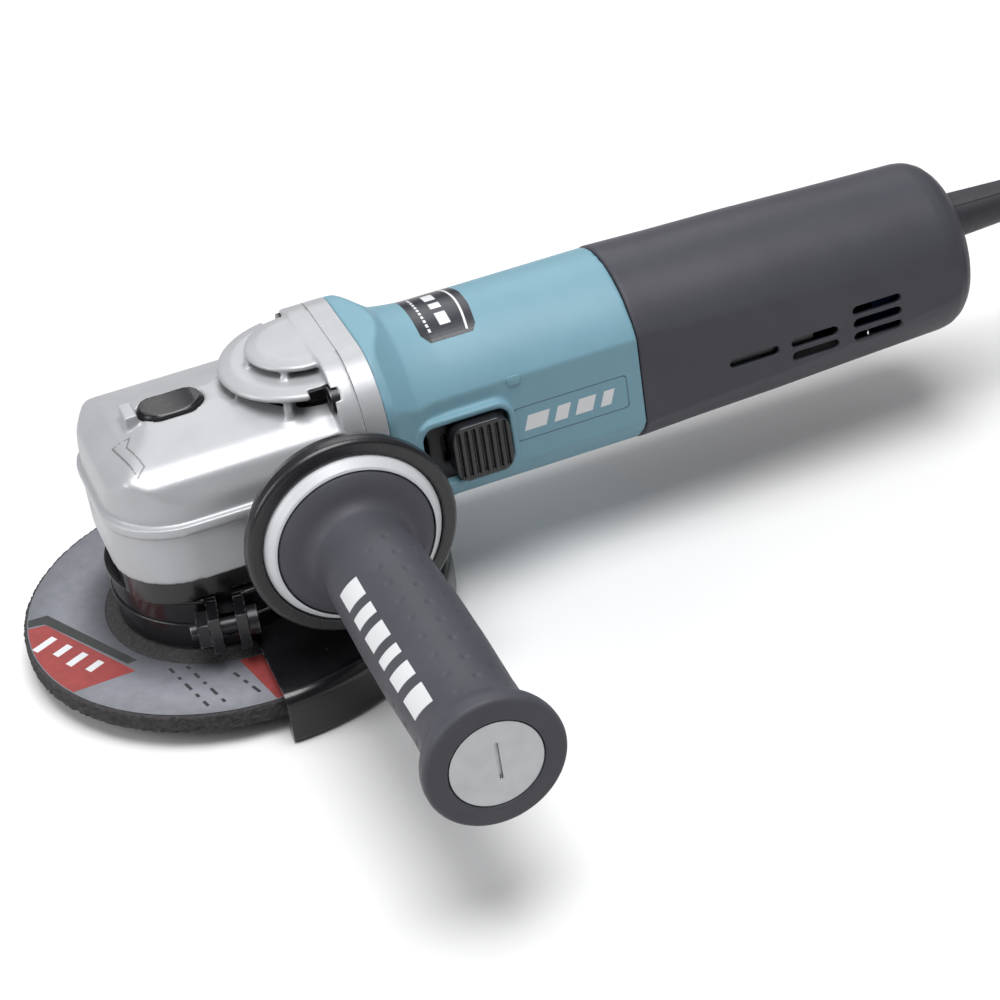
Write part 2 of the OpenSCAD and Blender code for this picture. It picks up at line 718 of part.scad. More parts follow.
module handle_base() {
    color([0.17, 0.18, 0.20]) along_handle() difference() {
        rotate_extrude() polygon([
            [0, 40], [13, 40], [17, 43], [24, 46.5], [29.4, 51], [handle_rim_r, 55.5],
            [handle_rim_r, 58.4], [30.4, 59.4], [26.6, 59.6], [26.6, 57.6], [23.6, 57.6], [0, 57.6]
        ]);
        translate([0, 0, 39]) cylinder(r = 10, h = 5);
        translate([0, 0, 30]) cylinder(r = 6.1, h = 21);
        translate([0, 0, 30]) cylinder(r = stud_d / 2 + fit_gap, h = 40);
    }
}

module handle_ring() {
    color("WhiteSmoke") along_handle() rotate_extrude() polygon([
        [24, 57.8], [26.4, 57.8], [26.4, 58.8], [25.6, 60.6], [24.2, 62.3], [23.4, 62.6], [24, 60]
    ]);
}

module handle_grip() {
    color([0.17, 0.18, 0.20]) along_handle() difference() {
        rotate_extrude() polygon([
            [0, 57.8], [23.4, 57.8], [23.2, 62.4], [20.5, 64.2], [16, 66], [14, 68.5], [13.8, 74],
            [14.5, 80], [grip_r, 88], [15.3, 110], [15.3, 130], [14.9, 150], [15, 158], [16.2, 164],
            [18.6, 168], [19.4, 170.5], [19.4, 173], [18.6, 174], [13, handle_end_y],
            [13, handle_end_y - 2], [0, handle_end_y - 2]
        ]);
        translate([0, 0, 50]) cylinder(r = stud_d / 2 + fit_gap, h = 26.5);
    }
}

module handle_cap() {
    color([0.63, 0.65, 0.66]) along_handle(handle_end_y - 2) difference() {
        cylinder(r = 12.7, h = 2);
        translate([0.1, -5, 1]) cube([1, 11.4, 2]);
    }
}

// ---------- motor ----------

module armature_shaft() {
    color("Gainsboro") along_motor(0) rotate_extrude() polygon([
        [0, 9.3], [2.1, 9.3], [2.5, 9.8], [2.5, tooth_out], [4, tooth_out], [4, 40.4], [5, 40.4],
        [5, 158], [4, 158], [4, 168.5], [3.5, 169], [0, 169]
    ]);
}

module armature_core() {
    color("LightSlateGray") along_motor(79) difference() {
        ring(15.5, 5 + fit_gap, 40);
        for (i = [0 : 11]) rotate(i * 30) translate([12.2, -1.6, -1]) cube([2.4, 3.2, 42]);
        for (i = [0 : 11]) rotate(i * 30) translate([14, -0.7, -1]) cube([3, 1.4, 42]);
    }
}

module armature_windings() {
    color([0.72, 0.42, 0.20]) {
        for (x = [71.5, 119.3]) along_motor(x) rotate_extrude() polygon([
            [5.2, 0.8], [8, 0], [12, 0], [14.2, 2], [14.2, 5], [13.4, 7.2], [5.2, 7.2]
        ]);
        along_motor(78.6) for (i = [0 : 11]) rotate(i * 30) translate([12.3, -1.5, 0])
            cube([2, 3, 40.8]);
    }
}

module commutator() {
    color([0.75, 0.50, 0.28]) along_motor(132) difference() {
        union() {
            ring(12, 5 + fit_gap, 18);
            ring(13.4, 5 + fit_gap, 3);
        }
        for (i = [0 : 23]) rotate(i * 15) translate([11.2, -0.25, -1]) cube([4, 0.5, 20]);
    }
}

module cooling_fan() {
    color([0.20, 0.21, 0.23]) along_motor(fan_x) {
        ring(8, 5 + fit_gap, 12);
        translate([0, 0, 10]) ring(fan_r, 7.5, 1.8);
        for (i = [0 : 10]) rotate(i * 360 / 11) translate([7.6, 0, 1]) rotate(18)
            cube([15.5, 1.4, 9.5]);
    }
}

module pinion_gear() {
    root_slope = tan(pinion_cone - ded_angle);
    face_slope = tan(pinion_cone + add_angle);
    color("DarkGray") along_motor(0) difference() {
        union() {
            rotate_extrude() polygon([
                [0, tooth_in], [root_slope * tooth_in, tooth_in],
                [root_slope * tooth_out, tooth_out], [5.3, tooth_out + 0.1], [5.3, 28], [0, 28]
            ]);
            intersection() {
                rotate_extrude() polygon([
                    [0, tooth_in], [face_slope * tooth_in, tooth_in],
                    [face_slope * tooth_out, tooth_out], [0, tooth_out]
                ]);
                linear_extrude(30) for (i = [0 : pinion_teeth - 1]) rotate(i * 360 / pinion_teeth)
                    polygon([[2.9, -0.52], [7.6, -0.34], [7.6, 0.34], [2.9, 0.52]]);
            }
        }
        translate([0, 0, 10]) cylinder(r = 2.51, h = 20);
        translate([0, 0, tooth_out]) cylinder(r = 4.01, h = 10);
    }
}

module pinion_nut() {
    color("DimGray") along_motor(10.6) difference() {
        cylinder(r = 4.5, h = 4.3, $fn = 6);
        translate([0, 0, -1]) cylinder(r = 2.51, h = 8);
    }
}

module rear_bearing() {
    color("LightSteelBlue") along_motor(159.5) ball_bearing(11, 4 + fit_gap, 7);
}

module bearing_sleeve() {
    color([0.12, 0.12, 0.13]) along_motor(158.2) difference() {
        cylinder(r = 12.95, h = 9.5);
        translate([0, 0, 1.2]) cylinder(r = 11.02, h = 10);
        translate([0, 0, -1]) cylinder(r = 8, h = 12);
    }
}

module fan_baffle() {
    color([0.23, 0.24, 0.26]) intersection() {
        along_motor(68) ring(barrel_r - wall - 0.3, 17, 1.6);
        translate([60, 1.3 - rod_y, 0]) cube([20, 2 * (rod_y - 1.3), 100]);
    }
}

module stator_core() {
    color("SlateGray") difference() {
        along_motor(79) ring(26, 16.1, 40);
        for (s = [-1, 1]) translate([70, s * (rod_y - 0.4) - 3, 0]) cube([60, 6, 100]);
        // Slots beside the two poles, for the field coils
        for (a = [40, 140, 220, 320]) along_motor(78) rotate(a) translate([14, -3.2, 0])
            cube([6.4, 6.4, 42]);
        for (s = [-1, 1]) along_motor(78) translate([s * 23.6, 0, 0]) cylinder(r = 1.75, h = 60);
    }
}

module field_coils() {
    color([0.70, 0.38, 0.18]) for (top = [0, 180]) along_motor(0) rotate(top) {
        for (x = [73, 119.4]) translate([0, 0, x]) rotate(-54) rotate_extrude(angle = 108)
            translate([16.8, 0]) square([3.6, 5.6]);
        for (a = [-40, 40]) rotate(a) translate([17.4, -2.9, 75]) cube([2.5, 5.8, 48]);
    }
}

module stator_screws() {
    color("DimGray") for (s = [-1, 1]) translate([119.1, 0, motor_z + s * 23.6])
        rotate([0, 90, 0]) screw(3, 2.4, 1.7, 44);
}

module brush_holders() {
    color("Goldenrod") for (s = [0, 180]) along_motor(brush_x) rotate([0, 0, s]) difference() {
        translate([14, -4.6, -5.6]) cube([13.4, 9.2, 11.2]);
        translate([13, -3.25, -4.25]) cube([12.6, 6.5, 8.5]);
    }
}

module carbon_brushes() {
    color([0.13, 0.13, 0.14]) for (s = [0, 180]) along_motor(brush_x) rotate([0, 0, s])
        difference() {
            translate([11, -3.15, -4.1]) cube([9, 6.3, 8.2]);
            translate([0, 0, -6]) cylinder(r = 12.1, h = 12);
        }
}

module brush_springs() {
    color("Silver") for (s = [0, 180]) along_motor(brush_x) rotate([0, 0, s])
        translate([20.4, 0, 0]) rotate([0, 90, 0]) tube(helix(2.2, 4.7, 4, 10), 0.3, 6);
}

// ---------- controls ----------

module switch_slider() {
    color([0.10, 0.10, 0.11]) translate([switch_x, 0, switch_z]) {
        difference() {
            translate([0, -26.6, 0]) rotate([90, 0, 0]) linear_extrude(6.4) round_rect(18, 18.4, 4);
            for (i = [-3 : 3]) translate([i * 2.4, -33, 0]) cube([1, 2, 16], center = true);
        }
        // Neck through the slot, down to the rod
        translate([-2.4, -27.5, -3.9]) cube([9.4, 27.5 - rod_y - 0.01, 7.8]);
    }
}

module switch_rod() {
    color([0.25, 0.26, 0.28]) {
        translate([switch_x - 2.4, -rod_y, switch_z - 3.5])
            cube([rod_end_x - switch_x + 2.4, rod_t, 7]);
        translate([rod_end_x - 3, -rod_y, switch_z - 3.5]) cube([3, 9.2, 7]);
    }
}

module switch_unit() {
    color([0.20, 0.21, 0.22]) {
        translate([178, -12, 34]) cube([32, 24, 26]);
        translate([187, -14.6, switch_z - 2]) cube([1.6, 2.7, 4]);
        for (z = [40, 54]) translate([210, -8, z - 2.5]) cube([4, 16, 5]);
    }
}

module soft_start_unit() {
    color([0.15, 0.22, 0.40]) translate([216, -12, 30.5]) difference() {
        cube([20, 24, 14]);
        for (x = [4, 10, 16]) translate([x - 1, 4, 13]) cube([2, 16, 2]);
        // Hole for the rear cover's screw
        translate([8, 12, -1]) cylinder(r = 2 + fit_gap, h = 10.5);
    }
}

module cord_clamp() {
    color([0.20, 0.21, 0.22]) difference() {
        translate([222, -11, cord_exit_z - 0.5]) cube([7, 22, 8]);
        translate([215, 0, cord_exit_z]) rotate([0, 90, 0]) cylinder(r = cord_r + 0.1, h = 20);
        for (s = [-1, 1]) translate([225.5, s * 8, 40]) cylinder(r = 1.6, h = 40);
    }
}

module cord_clamp_screws() {
    color("Silver") for (s = [-1, 1]) translate([225.5, s * 8, cord_exit_z + 7.5])
        screw(2.7, 1.8, 1.5, 15);
}

module cord_guard() {
    color([0.13, 0.13, 0.14]) translate([rear_x, 0, cord_exit_z]) rotate([0, 90, 0]) difference() {
        rotate_extrude() polygon([
            [0, -9], [9, -9], [9, -3.2], [6.2, -3.2], [6.2, 0.2], [7.6, 0.2], [7.3, 4],
            [5.5, cord_guard_len - 1], [5.1, cord_guard_len], [0, cord_guard_len]
        ]);
        translate([0, 0, -12]) cylinder(r = cord_r + 0.1, h = 80);
        // Flex grooves along the taper
        for (z = [24 : 5 : 34]) translate([0, 0, z]) difference() {
            cylinder(r = 10, h = 1.8);
            translate([0, 0, -1]) cylinder(r = 4.7, h = 4);
        }
    }
}

module power_cord() {
    color([0.13, 0.13, 0.14]) {
        tube(lead_route, cord_r, 12);
        tube(tail_route, cord_r, 12);
    }
}

// The coil's turns as one solid: two rows of five.
module cord_coil() {
    color([0.13, 0.13, 0.14]) translate([coil_x, coil_y, floor_z + coil_lift + cord_r])
        rotate_extrude() translate([coil_in_r, 0]) {
            square([(coil_lanes - 1) * cord_d, cord_d]);
            for (row = [0, 1], lane = [0 : coil_lanes - 1])
                translate([lane * cord_d, row * cord_d]) circle(r = cord_r + 0.05, $fn = 24);
        }
}

module coil_tie() {
    tie_w = coil_lanes * cord_d + 1;
    tie_h = 2 * cord_d + 0.4;
    tie_t = 1.3;
    tie_len = 10;
    color([0.15, 0.15, 0.16]) translate([coil_x, coil_y, 0]) rotate(-150)
        translate([coil_r - 0.3, tie_len / 2, floor_z + tie_t + tie_h / 2]) rotate([90, 0, 0])
            linear_extrude(tie_len) difference() {
                round_rect(tie_w + 2 * tie_t, tie_h + 2 * tie_t, 3.4);
                round_rect(tie_w, tie_h, 2.2);
            }
}

// ---------- mains plug ----------

// Local +Z becomes -Y along the plug, its pins side by side along X.
module along_plug(y) {
    translate([plug_x, y, plug_z]) rotate([90, 0, 0]) children();
}

module plug_body() {
    color([0.13, 0.13, 0.14]) along_plug(plug_y) difference() {
        union() {
            linear_extrude(26) round_rect(38, 27, 12);
            translate([0, 0, -12]) rotate_extrude()
                polygon([[0, 0], [5.6, 0], [8, 6], [11, 12.1], [0, 12.1]]);
        }
        translate([0, 0, -20]) cylinder(r = cord_r + 0.1, h = 22.5);
        for (s = [-1, 1]) translate([s * 9.5, 0, 14]) cylinder(r = 1.9, h = 20);
        for (s = [-1, 1]) translate([s * 19, 0, 10]) cube([2, 9, 30], center = true);
    }
}

module plug_pins() {
    color("Silver") along_plug(plug_y - 14) for (s = [-1, 1]) translate([s * 9.5, 0, 0]) {
        cylinder(r = 1.9, h = 12.2);
        translate([0, 0, 12.1]) cylinder(r = 2.4, h = 16.9);
        translate([0, 0, 28.9]) cylinder(r = 1.7, h = 1.1);
    }
}

gear_housing();
gear_housing_screws();
bearing_plate();
front_bearing();
bearing_clamp();
motor_housing();
rear_cover();
rear_cover_screw();
bearing_box();
bearing_box_screws();
spindle_bearing();
spindle_bearing_clamp();
spindle_seal();
spindle_top_bearing();
spindle();
spindle_gear();
spindle_circlip();
inner_flange();
grinding_wheel();
lock_nut();
guard_collar();
wheel_guard();
guard_clamp_screw();
guard_clamp_nut();
lock_button();
lock_pin();
lock_spring();
handle_stud();
handle_base();
handle_ring();
handle_grip();
handle_cap();
armature_shaft();
armature_core();
armature_windings();
commutator();
cooling_fan();
pinion_gear();
pinion_nut();
rear_bearing();
bearing_sleeve();
fan_baffle();
stator_core();
field_coils();
stator_screws();
brush_holders();
carbon_brushes();
brush_springs();
switch_slider();
switch_rod();
switch_unit();
soft_start_unit();
cord_clamp();
cord_clamp_screws();
cord_guard();
power_cord();
cord_coil();
coil_tie();
plug_body();
plug_pins();
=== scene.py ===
import bmesh
import bpy
import json
import math
import random
from mathutils import Matrix, Vector
from mathutils.bvhtree import BVHTree

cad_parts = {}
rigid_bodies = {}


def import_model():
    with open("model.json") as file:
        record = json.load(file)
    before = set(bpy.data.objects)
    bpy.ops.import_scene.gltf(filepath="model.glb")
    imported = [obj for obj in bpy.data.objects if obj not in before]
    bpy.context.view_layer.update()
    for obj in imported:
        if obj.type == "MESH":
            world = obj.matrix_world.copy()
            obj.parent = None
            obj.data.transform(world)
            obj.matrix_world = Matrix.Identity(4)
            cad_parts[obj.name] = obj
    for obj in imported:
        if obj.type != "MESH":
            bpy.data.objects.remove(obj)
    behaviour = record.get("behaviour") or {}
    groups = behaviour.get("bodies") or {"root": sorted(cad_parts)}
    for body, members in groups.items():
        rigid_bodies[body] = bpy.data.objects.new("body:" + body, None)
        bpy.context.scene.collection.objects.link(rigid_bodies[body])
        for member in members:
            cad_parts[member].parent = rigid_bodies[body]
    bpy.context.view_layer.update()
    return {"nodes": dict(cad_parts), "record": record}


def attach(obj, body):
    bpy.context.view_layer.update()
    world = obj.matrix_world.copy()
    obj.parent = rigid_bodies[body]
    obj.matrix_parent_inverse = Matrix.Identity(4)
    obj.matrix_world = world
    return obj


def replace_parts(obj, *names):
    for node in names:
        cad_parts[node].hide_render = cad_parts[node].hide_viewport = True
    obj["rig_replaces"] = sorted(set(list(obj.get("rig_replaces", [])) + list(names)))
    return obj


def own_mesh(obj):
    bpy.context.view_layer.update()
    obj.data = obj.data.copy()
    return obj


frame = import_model()
NODES = frame["nodes"]
MM = 0.001
FLOOR_Z = -5.5 * MM
rng = random.Random(7)


# ---------- camera, floor and light ----------

CAMERA_TURN = -16.71, 32.92, -8.51  # azimuth, elevation and roll in degrees
CAMERA_TARGET = Vector((0.090, -0.040, 0.040))
CAMERA_DISTANCE = 0.8274
CAMERA_LENS = 101.16
CAMERA_SHIFT = -0.0328, -0.0291


def make_camera():
    azimuth, elevation, roll = (math.radians(a) for a in CAMERA_TURN)
    back = Vector((math.sin(azimuth) * math.cos(elevation),
                   -math.cos(azimuth) * math.cos(elevation), math.sin(elevation)))
    right = (-back).cross(Vector((0, 0, 1))).normalized()
    up = right.cross(-back)
    tilted_right = math.cos(roll) * right + math.sin(roll) * up
    tilted_up = math.cos(roll) * up - math.sin(roll) * right
    turn = Matrix((tilted_right, tilted_up, back)).transposed()
    data = bpy.data.cameras.new("camera")
    data.lens, data.sensor_width = CAMERA_LENS, 36.0
    data.shift_x, data.shift_y = CAMERA_SHIFT
    data.clip_start, data.clip_end = 0.05, 20.0
    camera = bpy.data.objects.new("camera", data)
    place = CAMERA_TARGET + back * CAMERA_DISTANCE
    camera.matrix_world = Matrix.Translation(place) @ turn.to_4x4()
    bpy.context.scene.collection.objects.link(camera)
    bpy.context.scene.camera = camera


def simple_material(name, colour, roughness):
    mat = bpy.data.materials.new(name)
    mat.use_nodes = True
    shader = mat.node_tree.nodes["Principled BSDF"]
    shader.inputs["Base Color"].default_value = (*colour, 1)
    shader.inputs["Roughness"].default_value = roughness
    return mat


def make_floor():
    bm = bmesh.new()
    for x, y in ((-2.5, -2.0), (3.0, -2.0), (3.0, 6.0), (-2.5, 6.0)):
        bm.verts.new((x, y, FLOOR_Z))
    bm.faces.new(bm.verts)
    mesh = bpy.data.meshes.new("floor")
    bm.to_mesh(mesh)
    bm.free()
    floor = bpy.data.objects.new("floor", mesh)
    mesh.materials.append(simple_material("floor_pale", (0.70, 0.70, 0.70), 0.75))
    bpy.context.scene.collection.objects.link(floor)


def area_light(name, place, aim, size, power):
    data = bpy.data.lights.new(name, "AREA")
    data.shape, data.size, data.energy = "DISK", size, power
    lamp = bpy.data.objects.new(name, data)
    lamp.location = place
    lamp.rotation_mode = "QUATERNION"
    lamp.rotation_quaternion = (Vector(aim) - Vector(place)).to_track_quat("-Z", "Y")
    bpy.context.scene.collection.objects.link(lamp)


def make_light():
    """Soft light from above and the left, darker towards the horizon."""
    world = bpy.data.worlds.new("studio")
    world.use_nodes = True
    tree = world.node_tree
    shade = tree.nodes["Background"]
    coord = tree.nodes.new("ShaderNodeTexCoord")
    split = tree.nodes.new("ShaderNodeSeparateXYZ")
    tree.links.new(coord.outputs["Generated"], split.inputs["Vector"])
    span = tree.nodes.new("ShaderNodeMapRange")
    for key, number in (("From Min", 0.0), ("From Max", 0.9), ("To Min", 0.08), ("To Max", 0.5)):
        span.inputs[key].default_value = number
    tree.links.new(split.outputs["Z"], span.inputs["Value"])
    tree.links.new(span.outputs["Result"], shade.inputs["Strength"])
    shade.inputs["Color"].default_value = (0.97, 0.98, 1, 1)
    bpy.context.scene.world = world
    area_light("above", (0.1, -0.3, 1.7), (0.1, 0, 0.03), 1.3, 36)
    area_light("left", (-1.3, 0.0, 0.75), (0.05, 0, 0.03), 0.9, 9)
    area_light("behind", (0.5, 1.3, 1.2), (0.1, 0, 0.03), 1.0, 5)
    scene = bpy.context.scene
    scene.view_settings.view_transform = "Standard"
    scene.view_settings.look = "None"
    scene.view_settings.exposure = 0.0


make_camera()
make_floor()
make_light()


# ---------- mesh and material helpers ----------

BODY_OF = {n: b for b, ns in frame["record"]["behaviour"]["bodies"].items() for n in ns}
SLOT_OF = {p["node"]: p["material_slot"] for p in frame["record"]["subparts"]}


def linear(r, g, b):
    """An sRGB colour of 0-255 as linear values."""
    values = [c / 255 for c in (r, g, b)]
    return tuple(c / 12.92 if c <= 0.04045 else ((c + 0.055) / 1.055) ** 2.4 for c in values)


class Nodes:
    """Short calls that add shader nodes to a new material and link them."""

    def __init__(self, name):
        self.mat = bpy.data.materials.new(name)
        self.mat.use_nodes = True
        self.tree = self.mat.node_tree
        self.shader = self.tree.nodes["Principled BSDF"]
        self.coord = self.tree.nodes.new("ShaderNodeTexCoord").outputs["Object"]

    def put(self, socket, value):
        if isinstance(value, bpy.types.NodeSocket):
            self.tree.links.new(value, socket)
        else:
            socket.default_value = value

    def noise(self, scale, detail=4.0):
        node = self.tree.nodes.new("ShaderNodeTexNoise")
        self.put(node.inputs["Vector"], self.coord)
        node.inputs["Scale"].default_value = scale
        node.inputs["Detail"].default_value = detail
        node.inputs["Roughness"].default_value = 0.55
        return node.outputs["Fac"]

    def span(self, value, low, high, to_low=0.0, to_high=1.0):
        node = self.tree.nodes.new("ShaderNodeMapRange")
        self.put(node.inputs["Value"], value)
        limits = {"From Min": low, "From Max": high, "To Min": to_low, "To Max": to_high}
        for key, number in limits.items():
            node.inputs[key].default_value = number
        return node.outputs["Result"]

    def math(self, operation, a, b=0.0):
        node = self.tree.nodes.new("ShaderNodeMath")
        node.operation = operation
        self.put(node.inputs[0], a)
        self.put(node.inputs[1], b)
        return node.outputs["Value"]

    def mix(self, factor, a, b):
        node = self.tree.nodes.new("ShaderNodeMix")
        node.data_type = "RGBA"
        self.put(node.inputs["Factor"], factor)
        self.put(node.inputs["A"], a)
        self.put(node.inputs["B"], b)
        return node.outputs["Result"]

    def bump(self, height, strength, distance, normal=None):
        node = self.tree.nodes.new("ShaderNodeBump")
        node.inputs["Strength"].default_value = strength
        node.inputs["Distance"].default_value = distance
        self.put(node.inputs["Height"], height)
        if normal is not None:
            self.put(node.inputs["Normal"], normal)
        return node.outputs["Normal"]

    def rounded(self, radius):
        node = self.tree.nodes.new("ShaderNodeBevel")
        node.samples = 4
        node.inputs["Radius"].default_value = radius
        return node.outputs["Normal"]

    def edges(self, radius):
        """1 on convex and concave edges, 0 on flat faces."""
        geometry = self.tree.nodes.new("ShaderNodeNewGeometry")
        dot = self.tree.nodes.new("ShaderNodeVectorMath")
        dot.operation = "DOT_PRODUCT"
        self.put(dot.inputs[0], self.rounded(radius))
        self.put(dot.inputs[1], geometry.outputs["Normal"])
        return self.span(dot.outputs["Value"], 0.995, 0.9)

    def inside(self, x=None, y=None, z=None, turned=None):
        """1 inside a box of millimetres, or within turned = (x, y, radius) of an upright axis."""
        split = self.tree.nodes.new("ShaderNodeSeparateXYZ")
        self.put(split.inputs["Vector"], self.coord)
        tests = []
        for axis, limits in zip("XYZ", (x, y, z)):
            if limits:
                tests.append(self.math("GREATER_THAN", split.outputs[axis], limits[0] * MM))
                tests.append(self.math("LESS_THAN", split.outputs[axis], limits[1] * MM))
        if turned:
            across = self.math("SUBTRACT", split.outputs["X"], turned[0] * MM)
            along = self.math("SUBTRACT", split.outputs["Y"], turned[1] * MM)
            square = self.math("ADD", self.math("MULTIPLY", across, across),
                               self.math("MULTIPLY", along, along))
            tests.append(self.math("LESS_THAN", square, (turned[2] * MM) ** 2))
        found = tests[0]
        for test in tests[1:]:
            found = self.math("MULTIPLY", found, test)
        return found

    def set(self, **values):
        for name, value in values.items():
            self.put(self.shader.inputs[name.replace("_", " ")], value)


def surface(name, colour, rough, metal=0.0, vary=0.08, vary_scale=70.0, rough_vary=0.1,
            grain=0.25, grain_scale=2600.0, depth=0.00006, wear=None, wear_amount=0.5,
            bevel=0.0003, painted_shade=(), **extra):
    """A material with blotches, uneven gloss, fine grain, worn edges and painted shade in given
    hollows.
    """
    n = Nodes(name)
    dark = tuple(c * (1 - vary) for c in colour)
    light = tuple(min(1.0, c * (1 + vary)) for c in colour)
    blotch = n.span(n.noise(vary_scale), 0.3, 0.7)
    shade = n.mix(blotch, (*dark, 1), (*light, 1))
    fine = n.noise(vary_scale * 9)
    roughness = n.span(fine, 0.25, 0.75, rough - rough_vary / 2, rough + rough_vary / 2)
    if wear is not None:
        scuffed = n.math("MULTIPLY", n.edges(bevel * 2), n.span(n.noise(420), 0.42, 0.6))
        worn = n.math("MULTIPLY", scuffed, wear_amount)
        shade = n.mix(worn, shade, (*wear, 1))
    # Painted shade: inside each given region the colour becomes a dark tint that stands in for shade
    # falling in a recess.
    for region, shade_tint in painted_shade:
        shade = n.mix(n.inside(**region), shade, (*shade_tint, 1))
    normal = n.rounded(bevel) if bevel else None
    normal = n.bump(n.noise(grain_scale, 3.0), grain, depth, normal)
    n.set(Base_Color=shade, Roughness=roughness, Metallic=metal, Normal=normal)
    for key, value in extra.items():
        n.shader.inputs[key.replace("_", " ")].default_value = value
    return n.mat


def link(mesh, name):
    """A new object of that mesh, in the scene."""
    obj = bpy.data.objects.new(name, mesh)
    bpy.context.scene.collection.objects.link(obj)
    return obj


def piece(name, verts, faces, mat, body, slot=None, smooth=True):
    """A mesh piece from points in millimetres."""
    mesh = bpy.data.meshes.new(name)
    mesh.from_pydata([Vector(v) * MM for v in verts], [], faces)
    mesh.validate()
    bm = bmesh.new()
    bm.from_mesh(mesh)
    bmesh.ops.remove_doubles(bm, verts=bm.verts, dist=0.000002)
    bmesh.ops.recalc_face_normals(bm, faces=bm.faces)
    bm.to_mesh(mesh)
    bm.free()
    if smooth:
        mesh.shade_smooth()
    mesh.materials.append(mat)
    obj = link(mesh, name)
    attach(obj, body)
    return obj


def evaluated(obj):
    """The object's mesh with its modifiers applied, and the object gone."""
    bpy.context.view_layer.update()
    graph = bpy.context.evaluated_depsgraph_get()
    mesh = bpy.data.meshes.new_from_object(obj.evaluated_get(graph))
    bpy.data.objects.remove(obj)
    return mesh


def ramp(value, start, end):
    """0 at start, 1 at end, straight between."""
    return min(1.0, max(0.0, (value - start) / (end - start)))


def soften(mesh, voxel, rounds, keep, soft=None):
    """The closed mesh again as one skin of small faces, its edges rounded like a moulding's.
    soft(x, y, z) says where, from 0 to 1, it is rounded much further."""
    work = link(mesh, "work")
    remesh = work.modifiers.new("remesh", "REMESH")
    remesh.mode, remesh.voxel_size, remesh.use_smooth_shade = "VOXEL", voxel * MM, True
    smooth = work.modifiers.new("smooth", "SMOOTH")
    smooth.factor, smooth.iterations = 0.5, rounds
    if soft:
        work = link(evaluated(work), "work")
        group = work.vertex_groups.new(name="soft")
        for vert in work.data.vertices:
            weight = soft(*(c / MM for c in vert.co))
            if weight > 0:
                group.add([vert.index], weight, "REPLACE")
        smooth = work.modifiers.new("smooth", "SMOOTH")
        smooth.factor, smooth.iterations, smooth.vertex_group = 0.5, 70, "soft"
    if keep < 1:
        thin = work.modifiers.new("thin", "DECIMATE")
        thin.ratio = keep
    made = evaluated(work)
    made.shade_smooth()
    return made


def fused(name, nodes, mat, voxel=0.6, rounds=6, keep=0.4, soft=None):
    """A moulded or cast piece: the CAD nodes' own shape with rounded edges."""
    bm = bmesh.new()
    for node in nodes:
        bm.from_mesh(NODES[node].data)
    bmesh.ops.remove_doubles(bm, verts=bm.verts, dist=0.000001)
    mesh = bpy.data.meshes.new(name)
    bm.to_mesh(mesh)
    bm.free()
    mesh = soften(mesh, voxel, rounds, keep, soft)
    mesh.materials.clear()
    mesh.materials.append(mat)
    obj = link(mesh, name)
    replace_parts(obj, *nodes)
    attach(obj, BODY_OF[nodes[0]])
    return obj


# ---------- mains lead ----------

CORD_D = 7.5
COIL_X, COIL_R = 388.0, 45.0
COIL_Y = -(COIL_R + 2 * CORD_D)
LOW_Z = FLOOR_Z / MM + 1.5 + CORD_D / 2
PER_TURN = 24
TAIL_TURN = 8.25
LEAD = [(290, 0, 57), (296, 0, 56.9), (303, 0, 56), (311, 0, 53.6), (319, 0, 49.4), (327, 0, 43),
        (334.5, 0, 34.6), (341, 0, 25), (347.5, 0, 15.8), (354.5, 0, 8.2), (362.5, 0, 2.8),
        (371, 0, 0.2), (379.5, 0, -0.25)]
TAIL = [(448, -70, 7.25), (448, -82, 7.25), (448, -92, 7.1), (448, -101, 6.1),
        (448, -110, 3.7), (448, -119, 0.9), (448, -128, -0.9), (448, -137, -0.7),
        (448, -146, 1.6), (448, -155, 5), (448, -164, 7.4), (448, -173, 8)]


def eased(value, start, end):
    """0 before start, 1 after end, smooth between."""
    t = min(1.0, max(0.0, (value - start) / (end - start)))
    return t * t * (3 - 2 * t)


def coil_point(turn):
    """The lead after that many turns, spiralling in along the low row and out along the high row."""
    middle, width = TAIL_TURN / 2, 0.12
    lane = middle - math.hypot(turn - middle, width)
    radius = COIL_R + CORD_D * (2 - lane)
    angle = math.pi / 2 - 2 * math.pi * turn
    return (COIL_X + radius * math.cos(angle), COIL_Y + radius * math.sin(angle),
            LOW_Z + CORD_D * eased(turn, middle - 0.26, middle + 0.26))


def make_cord():
    coil = [coil_point(i / PER_TURN) for i in range(int(TAIL_TURN * PER_TURN) + 1)]
    points = LEAD + coil + TAIL
    curve = bpy.data.curves.new("mains_cord", "CURVE")
    curve.dimensions = "3D"
    curve.bevel_depth, curve.bevel_resolution, curve.resolution_u = CORD_D / 2 * MM, 6, 4
    spline = curve.splines.new("BEZIER")
    spline.bezier_points.add(len(points) - 1)
    for point, place in zip(spline.bezier_points, points):
        point.co = Vector(place) * MM
        point.handle_left_type = point.handle_right_type = "AUTO"
    cord = bpy.data.objects.new("mains_cord", curve)
    bpy.context.scene.collection.objects.link(cord)
    rubber = surface("cord_rubber", (0.024, 0.024, 0.029), 0.48, vary=0.1, rough_vary=0.15, grain=0.3,
                     grain_scale=1500, bevel=0)
    curve.materials.append(rubber)
    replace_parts(cord, "power_cord", "cord_coil")
    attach(cord, "body")
    return cord


cord = make_cord()
bpy.context.view_layer.update()


# ---------- materials ----------

